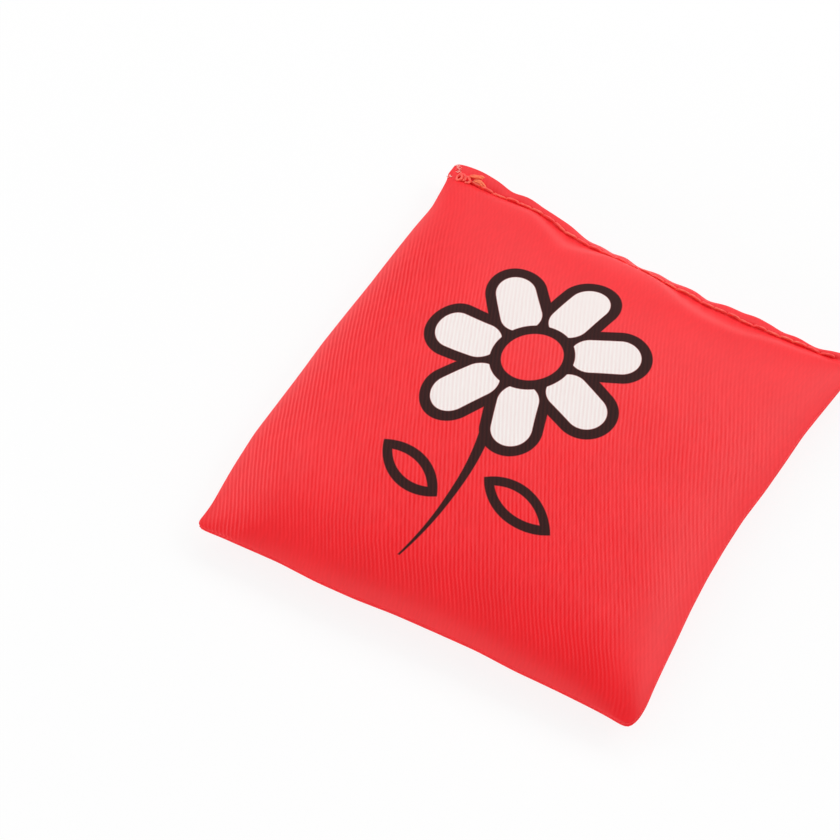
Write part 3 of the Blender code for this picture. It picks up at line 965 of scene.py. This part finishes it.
def petal_distance(tree, place):
    """Distance from the nearest petal: rounded bars set evenly round the flower's middle."""
    offset = node(tree, VECTOR, {"operation": "SUBTRACT"}, {1: (*FLOWER_CENTRE, 0)}, {0: place})
    split = node(tree, SPLIT, None, None, {0: offset})
    angle = node(tree, MATH, {"operation": "ARCTAN2"}, None, {0: split.outputs[1], 1: split.outputs[0]})
    turned = node(tree, MATH, {"operation": "ADD"}, {1: FLOWER_TURN + 4 * math.pi}, {0: angle})
    folded = node(tree, MATH, {"operation": "PINGPONG"}, {1: math.pi / PETALS}, {0: turned})
    length = node(tree, VECTOR, {"operation": "LENGTH"}, None, {0: offset})
    cosine = node(tree, MATH, {"operation": "COSINE"}, None, {0: folded})
    sine = node(tree, MATH, {"operation": "SINE"}, None, {0: folded})
    out = node(tree, MATH, {"operation": "MULTIPLY"}, None, {0: length.outputs["Value"], 1: cosine})
    aside = node(tree, MATH, {"operation": "MULTIPLY"}, None, {0: length.outputs["Value"], 1: sine})
    past = node(tree, MATH, {"operation": "SUBTRACT"}, {1: PETAL_MIDDLE}, {0: out})
    past = node(tree, MATH, {"operation": "ABSOLUTE"}, None, {0: past})
    past = node(tree, MATH, {"operation": "SUBTRACT"}, {1: PETAL_HALF_LENGTH}, {0: past})
    past = node(tree, MATH, {"operation": "MAXIMUM"}, {1: 0.0}, {0: past})
    pair = node(tree, JOIN, None, None, {0: past, 1: aside})
    away = node(tree, VECTOR, {"operation": "LENGTH"}, None, {0: pair})
    return node(tree, MATH, {"operation": "SUBTRACT"}, {1: PETAL_RADIUS}, {0: away.outputs["Value"]})


def flower_inks(tree, place):
    """Masks of the white and the black ink of a seven-petalled flower with a stem and two leaves."""
    petal = petal_distance(tree, place)
    disc = circle_distance(tree, place, FLOWER_CENTRE, DISC_RADIUS)

    # The stem is part of a wide ring that thins downwards, and each leaf is where two circles overlap
    ring = circle_distance(tree, place, STEM_CENTRE, STEM_RADIUS)
    ring = node(tree, MATH, {"operation": "ABSOLUTE"}, None, {0: ring})
    height = node(tree, SPLIT, None, None, {0: place}).outputs[1]
    thinning = {"From Min": STEM_FOOT, "From Max": -8.0, "To Min": 0.2, "To Max": 1.35}
    thickness = node(tree, RANGE, None, thinning, {"Value": height})
    ring = node(tree, MATH, {"operation": "SUBTRACT"}, None, {0: ring, 1: thickness})
    foot = node(tree, MATH, {"operation": "SUBTRACT"}, {0: STEM_FOOT}, {1: height})
    head = node(tree, MATH, {"operation": "SUBTRACT"}, {1: STEM_HEAD}, {0: height})
    stem = chained(tree, "MAXIMUM", ring, foot, head)
    leaves = []
    for one, other, radius in LEAF_ARCS:
        arcs = (circle_distance(tree, place, centre, radius) for centre in (one, other))
        leaves.append(chained(tree, "MAXIMUM", *arcs))
    leaf = chained(tree, "MINIMUM", *leaves)

    # White fills the petals, and bare cloth shows in the disc and the leaves
    white = chained(tree, "SUBTRACT", inside(tree, petal, -LINE), inside(tree, disc))
    black = inside(tree, chained(tree, "MINIMUM", petal, disc, leaf, stem))
    bare = (inside(tree, disc, -LINE), inside(tree, leaf, -LEAF_LINE))
    black = chained(tree, "SUBTRACT", black, white, *bare)
    return white, black


def mixed_colour(tree, share, low, high):
    """From the low colour to the high one as the share goes from 0 to 1; each is hex or another node."""
    values = {}
    links = {0: share}
    for socket, colour in ((6, low), (7, high)):
        if isinstance(colour, str):
            values[socket] = (*linear(colour), 1)
        else:
            links[socket] = colour
    return node(tree, "ShaderNodeMix", {"data_type": "RGBA"}, values, links).outputs[2]


def twill(name, printed):
    """Polyester gabardine dyed red: steep fine ribs, a dry face with a faint soft sheen.

    The print is ink soaked into the yarns, so the ribs still show in it, with painted shade in the gaps.
    """
    made, tree = new_material(name)
    place = cloth_places(tree)
    relief, own = twill_relief(tree, place)
    mottle = node(tree, NOISE, None, {"Scale": 0.09, "Detail": 3.0}, {"Vector": place})
    # Crests lighter and gaps darker: partly the weft showing, partly painted shade between the ribs
    colour = mixed_colour(tree, relief, "#F2151F", "#FF4147")
    for amount, values in (
        (own, {"To Min": 0.98, "To Max": 1.02}),
        (mottle, {"From Min": 0.3, "From Max": 0.7, "To Min": 0.975, "To Max": 1.025}),
    ):
        shade = node(tree, RANGE, None, values, {"Value": amount})
        colour = node(tree, VECTOR, {"operation": "SCALE"}, None, {0: colour, "Scale": shade})
    if printed:
        white, black = flower_inks(tree, place)
        cover = node(tree, RANGE, None, {"To Min": 0.93, "To Max": 1.0}, {"Value": relief})
        white = node(tree, MATH, {"operation": "MULTIPLY"}, None, {0: white, 1: cover})
        # Gaps between the ribs are darker in both inks: partly red showing through, partly painted shade
        colour = mixed_colour(tree, white, colour, mixed_colour(tree, relief, "#F2EAE7", "#FAF4F1"))
        colour = mixed_colour(tree, black, colour, mixed_colour(tree, relief, "#280707", "#3A1210"))
    bump = node(tree, "ShaderNodeBump", None, {"Strength": 0.6, "Distance": 0.035 * MM}, {"Height": relief})
    finish = {"Roughness": 0.5, "IOR": 1.5, "Specular IOR Level": 0.3}
    links = {"Base Color": colour, "Normal": bump}
    if printed:
        inked = node(tree, MATH, {"operation": "ADD"}, None, {0: white, 1: black})
        links["Roughness"] = node(tree, RANGE, None, {"To Min": 0.5, "To Max": 0.8}, {"Value": inked})
    shader = node(tree, "ShaderNodeBsdfPrincipled", None, finish, links)
    node(tree, "ShaderNodeOutputMaterial", None, None, {"Surface": shader})
    return made


def spun_thread(name, low_hex, high_hex):
    """Spun polyester sewing thread: its fibres' noise lightens it unevenly along its plies, as painted
    glow.

    Its dye took unevenly, so its colour drifts along it.
    """
    made, tree = new_material(name)
    place = node(tree, "ShaderNodeTexCoord").outputs["Object"]
    fibres = node(tree, NOISE, None, {"Scale": 6500.0, "Detail": 2.0}, {"Vector": place})
    drift = node(tree, NOISE, None, {"Scale": 160.0, "Detail": 1.0}, {"Vector": place})
    drift = node(tree, RANGE, None, {"From Min": 0.4, "From Max": 0.62}, {"Value": drift})
    # Painted light: the fibre noise scales the dye 0.95 to 1.15 times, partly a random fibre tone
    shade = node(tree, RANGE, None, {"To Min": 0.95, "To Max": 1.15}, {"Value": fibres})
    colour = mixed_colour(tree, drift, low_hex, high_hex)
    colour = node(tree, VECTOR, {"operation": "SCALE"}, None, {0: colour, "Scale": shade})
    bump = node(tree, "ShaderNodeBump", None, {"Strength": 0.25, "Distance": 0.03 * MM}, {"Height": fibres})
    finish = {"Roughness": 0.55, "IOR": 1.5, "Sheen Weight": 0.3, "Sheen Roughness": 0.4}
    shader = node(tree, "ShaderNodeBsdfPrincipled", None, finish, {"Base Color": colour, "Normal": bump})
    node(tree, "ShaderNodeOutputMaterial", None, None, {"Surface": shader})
    return made


def moulded_pellets():
    """Polypropylene pellets: milky, smooth and slightly shiny."""
    made, tree = new_material("milky polypropylene pellets")
    place = node(tree, "ShaderNodeTexCoord").outputs["Object"]
    cells = node(tree, "ShaderNodeTexVoronoi", None, {"Scale": 330.0}, {"Vector": place})
    colour = mixed_colour(tree, cells, "#C9C6BB", "#DEDCD4")
    finish = {"Roughness": 0.35, "IOR": 1.49}
    shader = node(tree, "ShaderNodeBsdfPrincipled", None, finish, {"Base Color": colour})
    node(tree, "ShaderNodeOutputMaterial", None, None, {"Surface": shader})
    return made


# Set


def white_table():
    """A plain table of matt white laminate, which all but joins its backdrop and keeps a soft shadow."""
    made, tree = new_material("white laminate table")
    path = node(tree, "ShaderNodeLightPath").outputs
    rays = (path["Is Camera Ray"], path["Is Glossy Ray"], path["Is Transmission Ray"])
    seen = chained(tree, "MAXIMUM", *rays)
    share = node(tree, MATH, {"operation": "MULTIPLY"}, {1: 0.86}, {0: seen})
    matt = node(tree, "ShaderNodeBsdfDiffuse", None, {"Color": (0.97, 0.97, 0.97, 1)})
    glow = node(tree, "ShaderNodeEmission", None, {"Color": (1, 1, 1, 1), "Strength": 1.0})
    both = node(tree, "ShaderNodeMixShader", None, None, {0: share, 1: matt, 2: glow})
    node(tree, "ShaderNodeOutputMaterial", None, None, {"Surface": both})
    add_mesh("table", TABLE_CORNERS, [(0, 1, 2, 3)], made)


def studio_light():
    """A dim white room with four softboxes; the camera sees the room as white."""
    world = bpy.data.worlds.new("studio")
    bpy.context.scene.world = world
    world.use_nodes = True
    tree = world.node_tree
    tree.nodes.clear()
    seen = node(tree, "ShaderNodeLightPath").outputs["Is Camera Ray"]
    strength = node(tree, RANGE, None, {"To Min": 0.20, "To Max": 1.0}, {"Value": seen})
    sky = node(tree, "ShaderNodeBackground", None, {"Color": (1, 1, 1, 1)}, {"Strength": strength})
    node(tree, "ShaderNodeOutputWorld", None, None, {"Surface": sky})
    for name, spot, width, depth, power in (
        ("wide softbox behind", (0.0, 0.85, 0.85), 1.8, 0.5, 8.55),
        ("softbox behind on the right", (0.8, 0.5, 0.6), 0.8, 0.8, 5.1),
        ("softbox on the left", (-1.0, -0.1, 0.5), 0.8, 0.8, 5.2),
        ("low wide fill in front", (0.0, -1.1, 0.35), 1.4, 0.4, 6.9),
    ):
        lamp = bpy.data.lights.new(name, "AREA")
        lamp.energy = power
        lamp.shape = "RECTANGLE"
        lamp.size = width
        lamp.size_y = depth
        placed = add_object(name, lamp)
        placed.location = spot
        placed.rotation_mode = "QUATERNION"
        placed.rotation_quaternion = (-Vector(spot)).to_track_quat("-Z", "Y")


def long_lens_camera():
    """The photograph's view: a long lens from above the lower corner, turned a little."""
    focal_px = 5000.0
    frame_px = 840.0
    azimuth, elevation, roll = (math.radians(a) for a in (35.75, 58.25, -6.2))
    distance = 1.0214
    target = Vector((-0.02275, -0.00772, SEAM_LEVEL))
    level = math.cos(elevation)
    back = Vector((math.sin(azimuth) * level, -math.cos(azimuth) * level, math.sin(elevation)))
    right = Vector((math.cos(azimuth), math.sin(azimuth), 0))
    up = back.cross(right)
    turned_right = right * math.cos(roll) + up * math.sin(roll)
    turned_up = up * math.cos(roll) - right * math.sin(roll)
    data = bpy.data.cameras.new("camera")
    data.sensor_width = 36.0
    data.lens = data.sensor_width * focal_px / frame_px
    data.clip_start = 0.05
    data.clip_end = 10
    placed = add_object("camera", data)
    stand = target + back * distance
    rows = [(turned_right[k], turned_up[k], back[k], stand[k]) for k in range(3)]
    placed.matrix_world = Matrix(rows + [(0, 0, 0, 1)])
    bpy.context.scene.camera = placed


bpy.context.scene.view_settings.view_transform = "Standard"
long_lens_camera()
studio_light()
white_table()

printed_twill = twill("printed red polyester gabardine", True)
plain_twill = twill("plain red polyester gabardine", False)
red_thread = spun_thread("red spun polyester thread", "#FF4E4A", "#FF6A58")
pale_fibre = spun_thread("pale loose polyester fibre", "#FF9C92", "#FFC4BA")
orange_thread = spun_thread("orange spun polyester thread", "#FF6844", "#FF7E54")

front_sheet, back_sheet = filled_sheets()
front = panel("front_cloth", front_sheet, 1, 2, printed_twill)
back = panel("back_cloth", back_sheet, -1, 1, plain_twill)
filling = pellet_mass(pressed(front_sheet, flat_grid()[1][:, 0]), back_sheet, moulded_pellets())

over_front = ClothFace(front, 1)
under_back = ClothFace(back, -1)
holes = flat_grid()[0][0][FIRST_HOLE : CELLS - FIRST_HOLE + 1 : CELLS_PER_STITCH]
needle_routes = [closing_stitches(over_front, holes), start_loops(over_front)]
bobbin_routes = [closing_stitches(under_back, holes)]
side_needle_routes = [side_stitches(front_sheet, 1)]
side_bobbin_routes = [side_stitches(front_sheet, -1)]

pieces = [
    (front, "printed_twill", "front_panel"),
    (back, "red_twill", "back_panel"),
    (filling, "pellets", "pellet_fill"),
]
for name, routes, finish, slot_name, node_name in (
    ("closing_stitches_front", needle_routes, red_thread, "red_thread", "closing_needle_thread"),
    ("closing_stitches_back", bobbin_routes, red_thread, "red_thread", "closing_bobbin_thread"),
    ("orange_back_tack", back_tack(over_front), orange_thread, "orange_thread", "closing_back_tack_thread"),
    ("side_seam_needle_thread", side_needle_routes, red_thread, "red_thread", "side_needle_thread"),
    ("side_seam_bobbin_thread", side_bobbin_routes, red_thread, "red_thread", "side_bobbin_thread"),
):
    pieces.append((plied_thread(name, routes, finish), slot_name, node_name))
pieces.append((frayed_fibres(over_front, pale_fibre), "red_thread", None))

for piece, slot_name, node_name in pieces:
    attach(piece, "root")
    if node_name:
        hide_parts(node_name)
